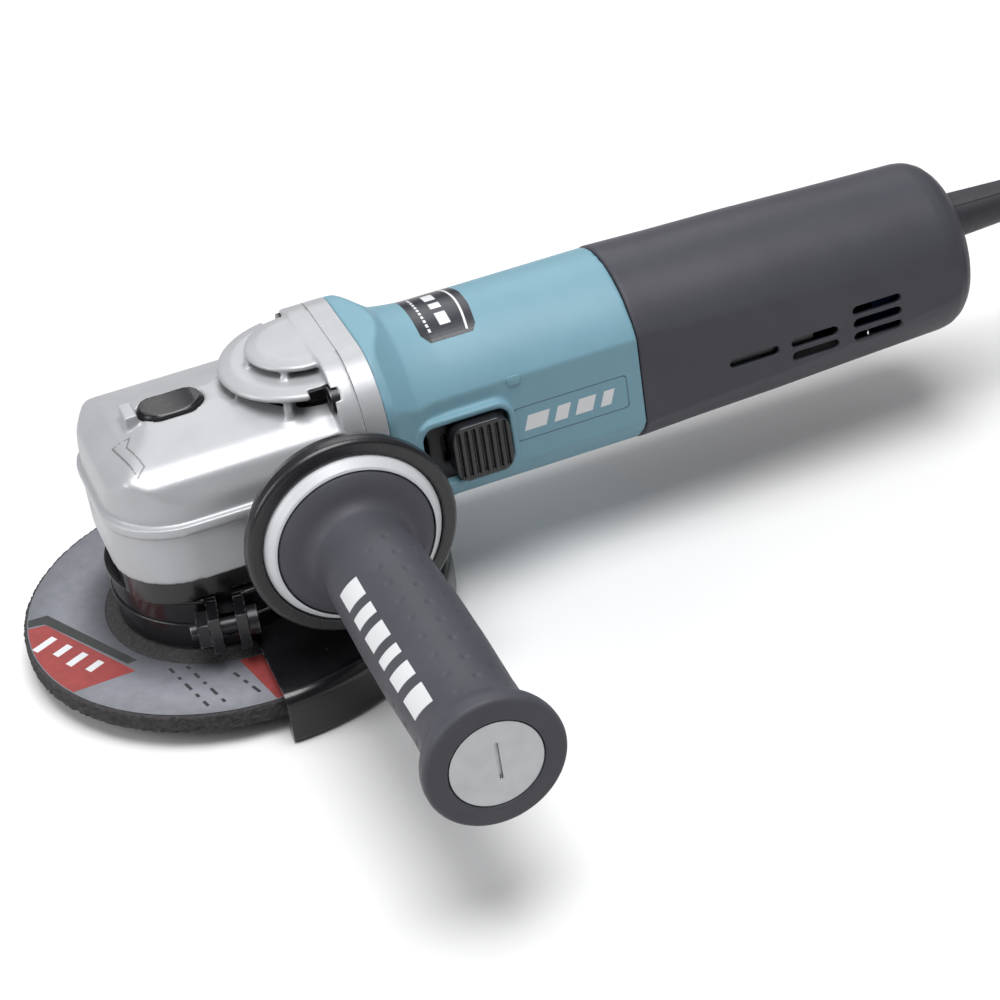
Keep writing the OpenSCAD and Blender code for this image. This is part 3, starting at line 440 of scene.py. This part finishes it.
STEEL = (0.62, 0.61, 0.59)
# Near-black colour of the painted shade in the dome's vents and the switch recess.
PAINTED_HOLLOW_SHADE = (0.012, 0.012, 0.014)
MATS = {
    "cast_alloy": surface("cast_alloy", (0.385, 0.39, 0.405), 0.4, metal=0.3, vary=0.04,
                          rough_vary=0.1, grain=0.3, grain_scale=1500, wear=(0.7, 0.7, 0.71),
                          wear_amount=0.35,
                          # Painted shade: the dome's vent recesses are coloured near black where
                          # shade falls in them.
                          painted_shade=[(dict(z=(60, 75.9), turned=(37, 0, 20)), PAINTED_HOLLOW_SHADE),
                                (dict(z=(79.2, 80.8), turned=(37, 0, 12)), PAINTED_HOLLOW_SHADE)]),
    "teal_plastic": surface("teal_plastic", (0.148, 0.278, 0.34), 0.44, vary=0.03, rough_vary=0.08,
                            Specular_IOR_Level=0.28, grain=0.22, grain_scale=2200,
                            # Painted shade: the switch recess in the barrel is coloured near black
                            # where shade falls in it.
                            painted_shade=[(dict(x=(61.6, 88.4), y=(-27.5, -15), z=(37.9, 57.6)), PAINTED_HOLLOW_SHADE)]),
    "charcoal_plastic": surface("charcoal_plastic", (0.048, 0.048, 0.058), 0.42, vary=0.06,
                                rough_vary=0.08, grain=0.3, grain_scale=2000, Specular_IOR_Level=0.2),
    "black_plastic": surface("black_plastic", linear(24, 24, 27), 0.3, vary=0.1, grain=0.2),
    "grey_plastic": surface("grey_plastic", (0.40, 0.41, 0.42), 0.34, metal=0.75, vary=0.06,
                            vary_scale=160, grain=0.25),
    "white_plastic": surface("white_plastic", (0.5, 0.51, 0.53), 0.35, vary=0.02, grain=0.15),
    "black_paint": surface("black_paint", (0.006, 0.006, 0.007), 0.22, vary=0.2, rough_vary=0.12,
                           grain=0.12, wear=(0.25, 0.25, 0.26), wear_amount=0.35),
    "black_steel": surface("black_steel", (0.035, 0.035, 0.038), 0.35, metal=0.7, wear=STEEL),
    "zinc_steel": surface("zinc_steel", (0.60, 0.60, 0.58), 0.32, metal=1.0, rough_vary=0.2),
    "bearing_steel": surface("bearing_steel", (0.70, 0.69, 0.68), 0.16, metal=1.0, rough_vary=0.1),
    "gear_steel": surface("gear_steel", (0.42, 0.41, 0.40), 0.3, metal=1.0, rough_vary=0.2,
                          wear=STEEL),
    "spring_steel": surface("spring_steel", (0.52, 0.51, 0.50), 0.25, metal=1.0),
    "lamination_steel": surface("lamination_steel", (0.28, 0.27, 0.26), 0.42, metal=0.9, vary=0.15),
    "nickel": surface("nickel", (0.74, 0.71, 0.66), 0.18, metal=1.0),
    "brass": surface("brass", (0.80, 0.58, 0.26), 0.25, metal=1.0),
    "copper": surface("copper", (0.86, 0.42, 0.26), 0.28, metal=1.0),
    "copper_wire": surface("copper_wire", (0.58, 0.20, 0.08), 0.3, metal=0.6, grain=0.8,
                           grain_scale=900, depth=0.0002),
    "potting_resin": surface("potting_resin", linear(36, 52, 96), 0.3, vary=0.12),
    "grip_rubber": surface("grip_rubber", (0.056, 0.056, 0.067), 0.5, vary=0.07, grain=0.45,
                           grain_scale=1700, Specular_IOR_Level=0.2),
    "soft_rubber": surface("soft_rubber", (0.02, 0.02, 0.024), 0.5, vary=0.08, grain=0.4,
                           Specular_IOR_Level=0.3),
    "cord_rubber": cord.data.materials[0],
    "felt": surface("felt", linear(120, 112, 100), 0.95, vary=0.2, grain=0.9, grain_scale=1200,
                    depth=0.0003),
    "carbon": surface("carbon", (0.02, 0.02, 0.022), 0.45, grain=0.6),
    "abrasive": surface("abrasive", (0.036, 0.034, 0.036), 0.9, vary=0.35, vary_scale=700, grain=1.0,
                        grain_scale=1500, depth=0.0006, bevel=0),
}


# ---------- shapes laid on a surface ----------

def tree(obj):
    """A search tree of the object's own mesh."""
    bm = bmesh.new()
    bm.from_mesh(obj.data)
    made = BVHTree.FromBMesh(bm)
    bm.free()
    return made


def cut_grid(bm, step):
    """Cuts flat faces along a square grid in their plane."""
    reach = max(max(abs(v.co.x), abs(v.co.y)) for v in bm.verts)
    count = int(reach / step) + 1
    for k in range(-count, count + 1):
        for normal in (Vector((1, 0, 0)), Vector((0, 1, 0))):
            geom = list(bm.verts) + list(bm.edges) + list(bm.faces)
            bmesh.ops.bisect_plane(bm, geom=geom, plane_co=normal * k * step, plane_no=normal)


def laid(name, outlines, origin, u, v, target, mat, body, slot=None, step=1.0, lift=0.06, sink=0.12):
    """Thin flat shapes pressed onto a surface: outlines in mm in the plane through origin with axes
    u and v, projected along the plane's normal, standing lift mm proud."""
    u, v = Vector(u).normalized(), Vector(v).normalized()
    along = -u.cross(v)
    start = Vector(origin)
    bm = bmesh.new()
    for outline in outlines:
        bm.faces.new([bm.verts.new((x, y, 0)) for x, y in outline])
    cut_grid(bm, step)
    bmesh.ops.triangulate(bm, faces=bm.faces)
    lost = []
    for vert in bm.verts:
        place = start + u * vert.co.x + v * vert.co.y
        hit, normal, _, _ = target.ray_cast((place - along * 30) * MM, along)
        if hit is None:
            lost.append(vert)
            continue
        if normal.dot(along) > 0:
            normal = -normal
        vert.co = hit + normal * lift * MM
    if lost:
        bmesh.ops.delete(bm, geom=lost, context="VERTS")
    bmesh.ops.recalc_face_normals(bm, faces=bm.faces)
    if bm.faces and sum(f.normal.dot(along) for f in bm.faces) > 0:
        bmesh.ops.reverse_faces(bm, faces=bm.faces)
    rim = [e for e in bm.edges if e.is_boundary]
    skirt = bmesh.ops.extrude_edge_only(bm, edges=rim)
    for item in skirt["geom"]:
        if isinstance(item, bmesh.types.BMVert):
            item.co += along * (lift + sink) * MM
    bmesh.ops.recalc_face_normals(bm, faces=bm.faces)
    mesh = bpy.data.meshes.new(name)
    bm.to_mesh(mesh)
    bm.free()
    mesh.materials.append(mat)
    obj = link(mesh, name)
    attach(obj, body)
    return obj


def stroke(points, width, closed=False):
    """Quads of that width along a line of 2-D points."""
    quads = []
    pairs = list(zip(points, points[1:])) + ([(points[-1], points[0])] if closed else [])
    for a, b in pairs:
        a, b = Vector(a), Vector(b)
        along = (b - a).normalized() * width / 2
        side = Vector((-along.y, along.x))
        a, b = a - along * 0.9, b + along * 0.9
        quads.append([tuple(p) for p in (a - side, b - side, b + side, a + side)])
    return quads


def rounded_box(width, height, radius, steps=4):
    """Outline of a rectangle with round corners, centred."""
    points = []
    for cx, cy, start in ((1, 1, 0), (-1, 1, 90), (-1, -1, 180), (1, -1, 270)):
        for k in range(steps + 1):
            a = math.radians(start + 90 * k / steps)
            points.append((cx * (width / 2 - radius) + radius * math.cos(a),
                           cy * (height / 2 - radius) + radius * math.sin(a)))
    return points


def shifted(outline, dx, dy):
    """The outline moved in its plane."""
    return [(x + dx, y + dy) for x, y in outline]


def lathe(name, profile, origin, axis, mat, body, slot=None, segments=160, replaces=(), rough=None):
    """A turned piece: profile of (radius, height) in mm round the axis from origin.
    rough(point, radius, height) moves a point of its skin."""
    axis = Vector(axis).normalized()
    side = axis.orthogonal().normalized()
    across = axis.cross(side)
    start = Vector(origin)
    verts, faces = [], []
    for r, h in profile:
        for k in range(segments):
            a = 2 * math.pi * k / segments
            point = start + axis * h + (side * math.cos(a) + across * math.sin(a)) * r
            verts.append(rough(point, r, h) if rough else point)
    for low in range(0, (len(profile) - 1) * segments, segments):
        high = low + segments
        for k in range(segments):
            j = (k + 1) % segments
            faces.append((low + k, low + j, high + j, high + k))
    obj = piece(name, verts, faces, mat, body, slot)
    if replaces:
        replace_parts(obj, *replaces)
    return obj


def round_profile(points, radius, steps=3):
    """The profile with each inner corner replaced by a small arc."""
    made = [points[0]]
    for a, b, c in zip(points, points[1:], points[2:]):
        a, b, c = Vector(a), Vector(b), Vector(c)
        back, on = (a - b), (c - b)
        cut = min(radius, back.length * 0.45, on.length * 0.45)
        p, q = b + back.normalized() * cut, b + on.normalized() * cut
        for k in range(steps + 1):
            t = k / steps
            made.append(tuple((1 - t) ** 2 * p + 2 * t * (1 - t) * b + t * t * q))
    made.append(points[-1])
    return made


# ---------- housings ----------

def case_softness(x, y, z):
    """The case's nose and shoulders are rounded far, its button well, crest and dome are not."""
    nose = ramp(x, 9, 5)
    shoulder = ramp(abs(y), 21, 24) * ramp(x, 35, 32) * ramp(z, 74.5, 72.5)
    well = ramp(max(abs(x + 7) - 14, abs(y) - 8), 0, 3)
    return ramp(z, 56, 60) * max(nose, shoulder) * well


gear_case = fused("gear_case", ["gear_housing"], MATS["cast_alloy"], 0.5, 5, 0.4, case_softness)
barrel = fused("motor_barrel", ["motor_housing"], MATS["teal_plastic"], 0.55, 5, 0.35)
fused("rear_shell", ["rear_cover"], MATS["charcoal_plastic"], 0.55, 5, 0.35)
fused("handle_flange", ["handle_base"], MATS["black_plastic"], 0.4, 5, 0.5)
fused("lock_cap", ["lock_button"], MATS["black_plastic"], 0.3, 4, 0.5)
fused("switch_knob", ["switch_slider"], MATS["black_plastic"], 0.3, 4, 0.5)

MARKS = {
    "label_black": surface("label_black", (0.012, 0.013, 0.02), 0.3, vary=0.08, bevel=0,
                           rough_vary=0.08),
    "mark_white": surface("mark_white", (0.56, 0.57, 0.58), 0.4, vary=0.03, bevel=0),
    "teal_line": surface("teal_line", (0.06, 0.12, 0.15), 0.5, vary=0.03, bevel=0),
    "alloy_line": surface("alloy_line", (0.2, 0.2, 0.21), 0.45, metal=0.35, vary=0.05, bevel=0),
    "paper_grey": surface("paper_grey", (0.175, 0.18, 0.205), 0.6, vary=0.1, vary_scale=260,
                          bevel=0, rough_vary=0.15, grain=0.5, grain_scale=2200, depth=0.00008),
    "panel_red": surface("panel_red", (0.24, 0.036, 0.034), 0.6, vary=0.12, vary_scale=300,
                         bevel=0, rough_vary=0.15, grain=0.5, grain_scale=2200, depth=0.00008),
    "panel_dark": surface("panel_dark", (0.025, 0.028, 0.028), 0.62, vary=0.15, vary_scale=300,
                          bevel=0),
}


# ---------- marks on the housings ----------

case_tree, barrel_tree = tree(gear_case), tree(barrel)
ARROW = [(-24.3, -7), (-18.9, -7.8), (-20.8, -11.4), (-18.6, -22.6), (-21.5, -25.6)]
laid("turn_arrow", stroke(ARROW, 0.5, closed=True), (0, 0, 100), (1, 0, 0), (0, 1, 0), case_tree,
     MARKS["alloy_line"], "body", "cast_alloy", step=2, lift=0.03)
TICK = [(-1.2, 2), (-1.9, 0.7), (-1.9, -0.7), (-1.2, -2)]
laid("nose_tick", stroke(TICK, 0.45), (-60, 6, 44), (0, -1, 0), (0, 0, 1), case_tree,
     MARKS["alloy_line"], "body", "cast_alloy", step=2, lift=0.03)

# Side panel with slanted bars
SIDE = ((0, -80, 0), (1, 0, 0), (0, 0, 1))
panel = shifted(rounded_box(36.6, 11.2, 1.2), 108.8, 48.1)
laid("panel_line", stroke(panel, 0.35, closed=True), *SIDE, barrel_tree, MARKS["teal_line"], "body",
     "teal_plastic", step=3, lift=0.03)
bars = []
BAR_LOW, BAR_HIGH, BAR_LEAN, BAR_GAP = 45.4, 50.4, 1.7, 2.6
x = 93.4
for length in (7.0, 4.2, 5.6, 3.4):
    bars.append([(x, BAR_LOW), (x + length, BAR_LOW), (x + length + BAR_LEAN, BAR_HIGH),
                 (x + BAR_LEAN, BAR_HIGH)])
    x += length + BAR_GAP
laid("panel_bars", bars, *SIDE, barrel_tree, MARKS["mark_white"], "body", "white_plastic", step=3)
laid("side_stud", [shifted(rounded_box(4.2, 2.6, 0.9), 92.2, 63.6)], *SIDE, barrel_tree,
     MATS["teal_plastic"], "body", "teal_plastic", step=1, lift=0.45)

# Round label on top of the barrel
TOP = ((0, 0, 120), (1, 0, 0), (0, 1, 0))
label = [(70.6, -11.5), (72.6, -14.4), (86, -14.4), (87.6, -12), (88.6, -4), (88.6, 4), (87.6, 12),
         (86, 14.4), (72.6, 14.4), (70.6, 11.5)]
laid("top_label", [label], *TOP, barrel_tree, MARKS["label_black"], "body", "black_plastic", step=1.2)
arc = [(84.2 + 1.6 * math.cos(math.radians(a * 6)), a) for a in range(-13, 14, 2)]
laid("label_line", stroke(arc, 0.7), *TOP, barrel_tree, MARKS["mark_white"], "body", "white_plastic",
     step=2, lift=0.1)
ticks = [[(x, y), (x + 3.4, y), (x + 3.4, y + w), (x, y + w)]
         for x, y, w in ((77.6, -9.5, 5.4), (77.6, -1.8, 3.2), (77.6, 3.7, 5.4))]
ticks += [[(73.4, y), (74.2, y), (74.2, y + 1.3), (73.4, y + 1.3)] for y in range(-11, 11, 2)]
laid("label_marks", ticks, *TOP, barrel_tree, MARKS["mark_white"], "body", "white_plastic", step=2,
     lift=0.1)

# Mould lines of the cord guard
GUARD_MIDDLE = Vector((258, 0, 57))
guard_line = stroke([(-22, 0), (0, 0), (22, 0)], 0.5)
for name, facing in (("guard_line_near", (0, -0.6, 0.8)), ("guard_line_far", (0, 0.6, -0.8))):
    outward = Vector(facing)
    laid(name, guard_line, GUARD_MIDDLE + outward * 20, (1, 0, 0), outward.cross(Vector((1, 0, 0))),
         tree(NODES["cord_guard"]), MATS["cord_rubber"], "body", "cord_rubber", step=2, lift=0.25)


# ---------- grinding wheel ----------

FACE_GRIT, RIM_GRIT = 0.16, 0.3
SMOOTH_R, RIM_R, EDGE_R, WHEEL_MIDDLE = 38, 61, 61.5, 3


def gritty(point, r, h):
    """Rough abrasive on the rim and the working faces, smooth towards the hub."""
    amount = RIM_GRIT if r > RIM_R else ramp(r, SMOOTH_R, SMOOTH_R + 6) * FACE_GRIT
    out = Vector((point.x, point.y, 0)).normalized()
    push = -abs(rng.gauss(0, 1)) * amount
    lift = push if h > WHEEL_MIDDLE else -push
    if r > EDGE_R:
        return point + out * max(push, -0.6)
    return point + Vector((0, 0, max(-0.4, min(0.4, lift * 0.4))))


WHEEL = [(11.12, 4.5), (18, 4.5), (25.5, 4.5), (27, 4.2), (28, 3.9), (32, 2.2), (36, 0.6),
         (38.5, 0.02)]
WHEEL += [(38.5 + 1.2 * k, 0.02) for k in range(1, 20)]
WHEEL += [(62.1, 0.2), (62.5, 0.6)] + [(62.5, 0.6 + 0.4 * k) for k in range(1, 12)]
WHEEL += [(62.5, 5.5), (62.1, 5.9), (61.3, 5.98)] + [(60.2 - 1.2 * k, 5.98) for k in range(19)]
WHEEL += [(37.2, 6), (36, 6.15), (34.8, 6.6), (30, 8.7), (26.6, 10), (25.2, 10.4), (24, 10.5),
          (16, 10.5), (11.12, 10.5), (11.12, 4.5)]
lathe("wheel_disc", WHEEL, (0, 0, 0), (0, 0, 1), MATS["abrasive"], "spindle", "abrasive", 420,
      ["grinding_wheel"], gritty)


def ring_strip(r_in, r_out, z, thick, segments=180):
    """Points and faces of a flat ring whose upper face is at z."""
    verts, faces = [], []
    for k in range(segments):
        a = 2 * math.pi * k / segments
        for r, h in ((r_in, z), (r_out, z), (r_out, z - thick), (r_in, z - thick)):
            verts.append((r * math.cos(a), r * math.sin(a), h))
    for k in range(segments):
        j = (k + 1) % segments
        for a, b in ((0, 1), (1, 2), (2, 3), (3, 0)):
            faces.append((4 * k + a, 4 * k + b, 4 * j + b, 4 * j + a))
    return verts, faces


piece("wheel_label", *ring_strip(37.4, 61.2, 6.12, 0.1), MARKS["paper_grey"], "spindle", "abrasive")


def flat(name, outlines, z, mat, thick=0.04):
    """Flat printed shapes on the wheel's label."""
    verts, faces = [], []
    for outline in outlines:
        n, first = len(outline), len(verts)
        verts += [(x, y, z) for x, y in outline] + [(x, y, z - thick) for x, y in outline]
        faces.append(tuple(first + k for k in range(n)))
        faces.append(tuple(first + n + k for k in reversed(range(n))))
        faces += [(first + k, first + (k + 1) % n, first + n + (k + 1) % n, first + n + k)
                  for k in range(n)]
    return piece(name, verts, faces, mat, "spindle", "abrasive", smooth=False)


def arc_points(r, start, end, steps=12):
    """Points of an arc round the wheel's axis, from start to end degrees."""
    return [(r * math.cos(math.radians(start + (end - start) * k / steps)),
             r * math.sin(math.radians(start + (end - start) * k / steps)))
            for k in range(steps + 1)]


flat("label_red", [
    [(-54.4, 11), (-35.6, -26.2)] + arc_points(60.9, 206, 169, 10),
    [(-6.6, -37.6)] + arc_points(60.9, 268, 296, 10) + arc_points(38, 302, 262, 10),
], 6.16, MARKS["panel_red"])
flat("label_chevron", [
    [(-54.6, 11.6), (-52.8, 15.8)] + arc_points(60.9, 164.6, 168, 3),
    [(-54.6, 11.6), (-36.8, -21.6), (-33.8, -21.2), (-52.8, 15.8)],
], 6.17, MARKS["panel_dark"])
dashes = []
for (x0, y0), (x1, y1), sizes in (((-26.3, -30.4), (-20.9, -54), (3, 1.6, 4, 2, 3)),
                                  ((-21.4, -32), (-16, -54.6), (2, 3, 1.4, 4, 2)),
                                  ((-9.9, -42.4), (-5.6, -55.4), (3, 2, 4))):
    start, end = Vector((x0, y0)), Vector((x1, y1))
    along = (end - start).normalized()
    gap = ((end - start).length - sum(sizes)) / (len(sizes) - 1)
    at = 0.0
    for size in sizes:
        dashes += stroke([start + along * (at + 0.5), start + along * (at + size - 0.5)], 1.0)
        at += size + gap
flat("label_dashes", dashes, 6.17, MARKS["panel_dark"])
bars = []
BAR_ROW, BAR_PITCH = Vector((0.46, -0.89)), 7.2
for k, size in enumerate((5.5, 3.5, 4.5, 3)):
    start = Vector((-54.5, 2.5)) + BAR_ROW * (BAR_PITCH * k)
    bars += stroke([start, start + Vector((-0.89, -0.46)) * size], 2.6)
flat("label_bars", bars, 6.19, MARKS["mark_white"])


# ---------- guard collar ----------

def part_ring(name, profile, start, end, mat, body, slot, segments=120):
    """A closed profile of (radius, z) swept round the wheel's axis from start to end degrees."""
    n = len(profile)
    verts, faces = [], []
    for k in range(segments + 1):
        a = math.radians(start + (end - start) * k / segments)
        verts += [(r * math.cos(a), r * math.sin(a), z) for r, z in profile]
    for k in range(segments):
        faces += [(k * n + i, k * n + (i + 1) % n, (k + 1) * n + (i + 1) % n, (k + 1) * n + i)
                  for i in range(n)]
    faces += [tuple(range(n)), tuple(segments * n + i for i in reversed(range(n)))]
    return piece(name, verts, faces, mat, body, slot)


def bead(r, z, radius, steps=12):
    """Outline of a round bead on the collar, as a profile of (radius, z)."""
    turns = [2 * math.pi * k / steps for k in range(steps)]
    return [(r + radius * math.cos(a), z + radius * math.sin(a)) for a in turns]


# Beads round the collar, open at the clamp's ears
COLLAR_R = 32.9
EAR_ANGLE = math.degrees(math.atan2(-36.811, -7.155))
for name, z, radius in (("collar_rim", 25.5, 0.85), ("collar_foot", 17, 0.6)):
    part_ring(name, bead(COLLAR_R, z, radius), EAR_ANGLE + 9, EAR_ANGLE + 351, MATS["black_paint"],
              "guard", "black_paint")


# ---------- side handle ----------

GRIP_AXIS = Vector((29.3, 0, 50))
GRIP = [(4.06, 57.8), (23.4, 57.8), (23.3, 60), (23.2, 62.4), (20.5, 64.2), (16, 66), (14, 68.5),
        (13.8, 74), (14.5, 80), (14.8, 88), (15.3, 110), (15.3, 130), (14.9, 150), (15, 158),
        (16.2, 164), (18.6, 168), (19.4, 170.5), (19.4, 173), (18.6, 174), (13, 174.5), (13, 172.5),
        (4.06, 172.5)]
DOT_ROWS, DOT_STEP, DOT_R, DOT_DEPTH = 14, 9.0, 1.15, 0.42
DOT_START, DOT_FIRST, DOT_END, DOT_TURN = 82, 84, 163, 77
PLAIN_ROWS = 2, 3  # under the printed bars


def divided(profile, step):
    """The profile with points no further apart than step."""
    made = [profile[0]]
    for a, b in zip(profile, profile[1:]):
        count = max(1, round(math.dist(a, b) / step))
        made += [(a[0] + (b[0] - a[0]) * k / count, a[1] + (b[1] - a[1]) * k / count)
                 for k in range(1, count + 1)]
    return made


def dimpled(point, r, h):
    """Rows of small dimples round the grip, every other row half a step on."""
    if not DOT_START < h < DOT_END:
        return point
    across = point - GRIP_AXIS
    turn = math.degrees(math.atan2(across.z, across.x)) - DOT_TURN
    row = round(turn / 360 * DOT_ROWS)
    if row in PLAIN_ROWS:
        return point
    off_angle = math.radians(turn - row * 360 / DOT_ROWS) * r
    shift = h - DOT_FIRST - (DOT_STEP / 2 if row % 2 else 0)
    off_length = shift - DOT_STEP * round(shift / DOT_STEP)
    away = math.hypot(off_angle, off_length)
    if away > DOT_R:
        return point
    inward = Vector((across.x, 0, across.z)).normalized()
    return point - inward * DOT_DEPTH * (1 - (away / DOT_R) ** 2)


grip = lathe("handle_sleeve", divided(round_profile(GRIP, 1.6), 0.55), GRIP_AXIS, (0, -1, 0),
             MATS["grip_rubber"], "side_handle", "grip_rubber", 190, ["handle_grip"], dimpled)
facing = math.radians(143)
outward = Vector((math.cos(facing), 0, math.sin(facing)))
along_grip = Vector((0, -1, 0))
grip_bars = []
HALF_BAR, LEAN, GAP = 4, 2.8, 4
at = 92.0
for size in (9, 5.5, 7.5, 4.5, 6.5, 9):
    grip_bars.append([(at, -HALF_BAR), (at + size, -HALF_BAR), (at + size + LEAN, HALF_BAR),
                      (at + LEAN, HALF_BAR)])
    at += size + GAP
laid("grip_bars", grip_bars, GRIP_AXIS + outward * 30, along_grip, outward.cross(along_grip),
     tree(grip), MARKS["mark_white"], "side_handle", "white_plastic", step=1.5, lift=0.08)


# ---------- CAD pieces ----------

replaced = {n for o in bpy.data.objects for n in o.get("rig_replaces", [])}
for node, obj in NODES.items():
    if node not in replaced:
        obj.data.materials.clear()
        obj.data.materials.append(MATS[SLOT_OF[node]])

# The lock spring stands 4.95 mm above its seat, and the pressed button leaves it 1 mm
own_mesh(NODES["lock_spring"])
